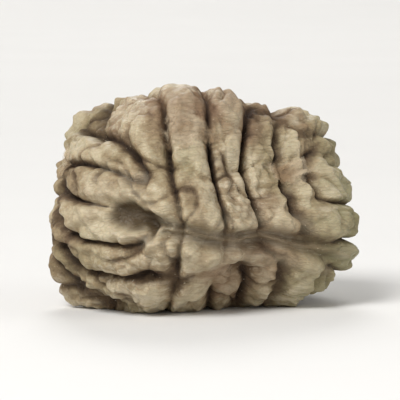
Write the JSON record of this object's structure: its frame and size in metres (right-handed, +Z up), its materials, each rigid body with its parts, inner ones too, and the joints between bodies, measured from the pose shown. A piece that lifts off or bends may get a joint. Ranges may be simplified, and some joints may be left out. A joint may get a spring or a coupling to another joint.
{
  "type": "cardamom seed",
  "caption": "Single dried cardamom seed: an angular, oblong body with furrows across it, a lengthways channel and a hilum pit, lying on a small flat spot.",
  "frame": {"origin": "on the surface that the seed lies on, under the middle of its bounding box", "axes": "+X lengthways, away from the hilum end; -Y the side with the raphe channel; +Z up"},
  "size_m": [0.0036, 0.0026, 0.0025],
  "materials": {
    "seed_coat": "matte, wrinkled, tan on the folds and dark brown in the furrows"
  },
  "bodies": {
    "root": {"cardamom_seed": "seed_coat"}
  },
  "joints": []
}
